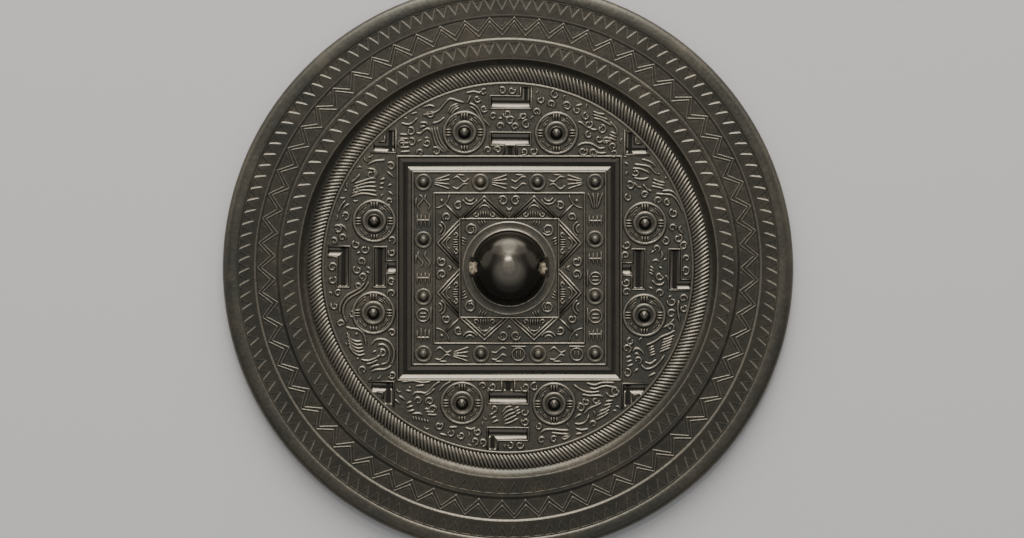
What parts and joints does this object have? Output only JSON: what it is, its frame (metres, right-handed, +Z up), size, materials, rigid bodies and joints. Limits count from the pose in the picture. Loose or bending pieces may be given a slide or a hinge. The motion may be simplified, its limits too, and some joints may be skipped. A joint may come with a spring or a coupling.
{
  "type": "ancient bronze mirror",
  "caption": "Round cast-bronze mirror lying face down, with a bored central knob and a back in low relief: square, bosses, angle marks and toothed rim bands.",
  "frame": {"origin": "on the surface the mirror lies on, under the centre of the disc", "axes": "+Z up out of the decorated back; +Y towards the upper side of the pattern; +X along the cord hole"},
  "size_m": [0.186, 0.186, 0.0122],
  "materials": {
    "bronze": "old cast bronze, brown-black patina, rubbed brighter on the raised lines"
  },
  "bodies": {
    "root": {"mirror": "bronze", "knob": "bronze"}
  },
  "joints": []
}
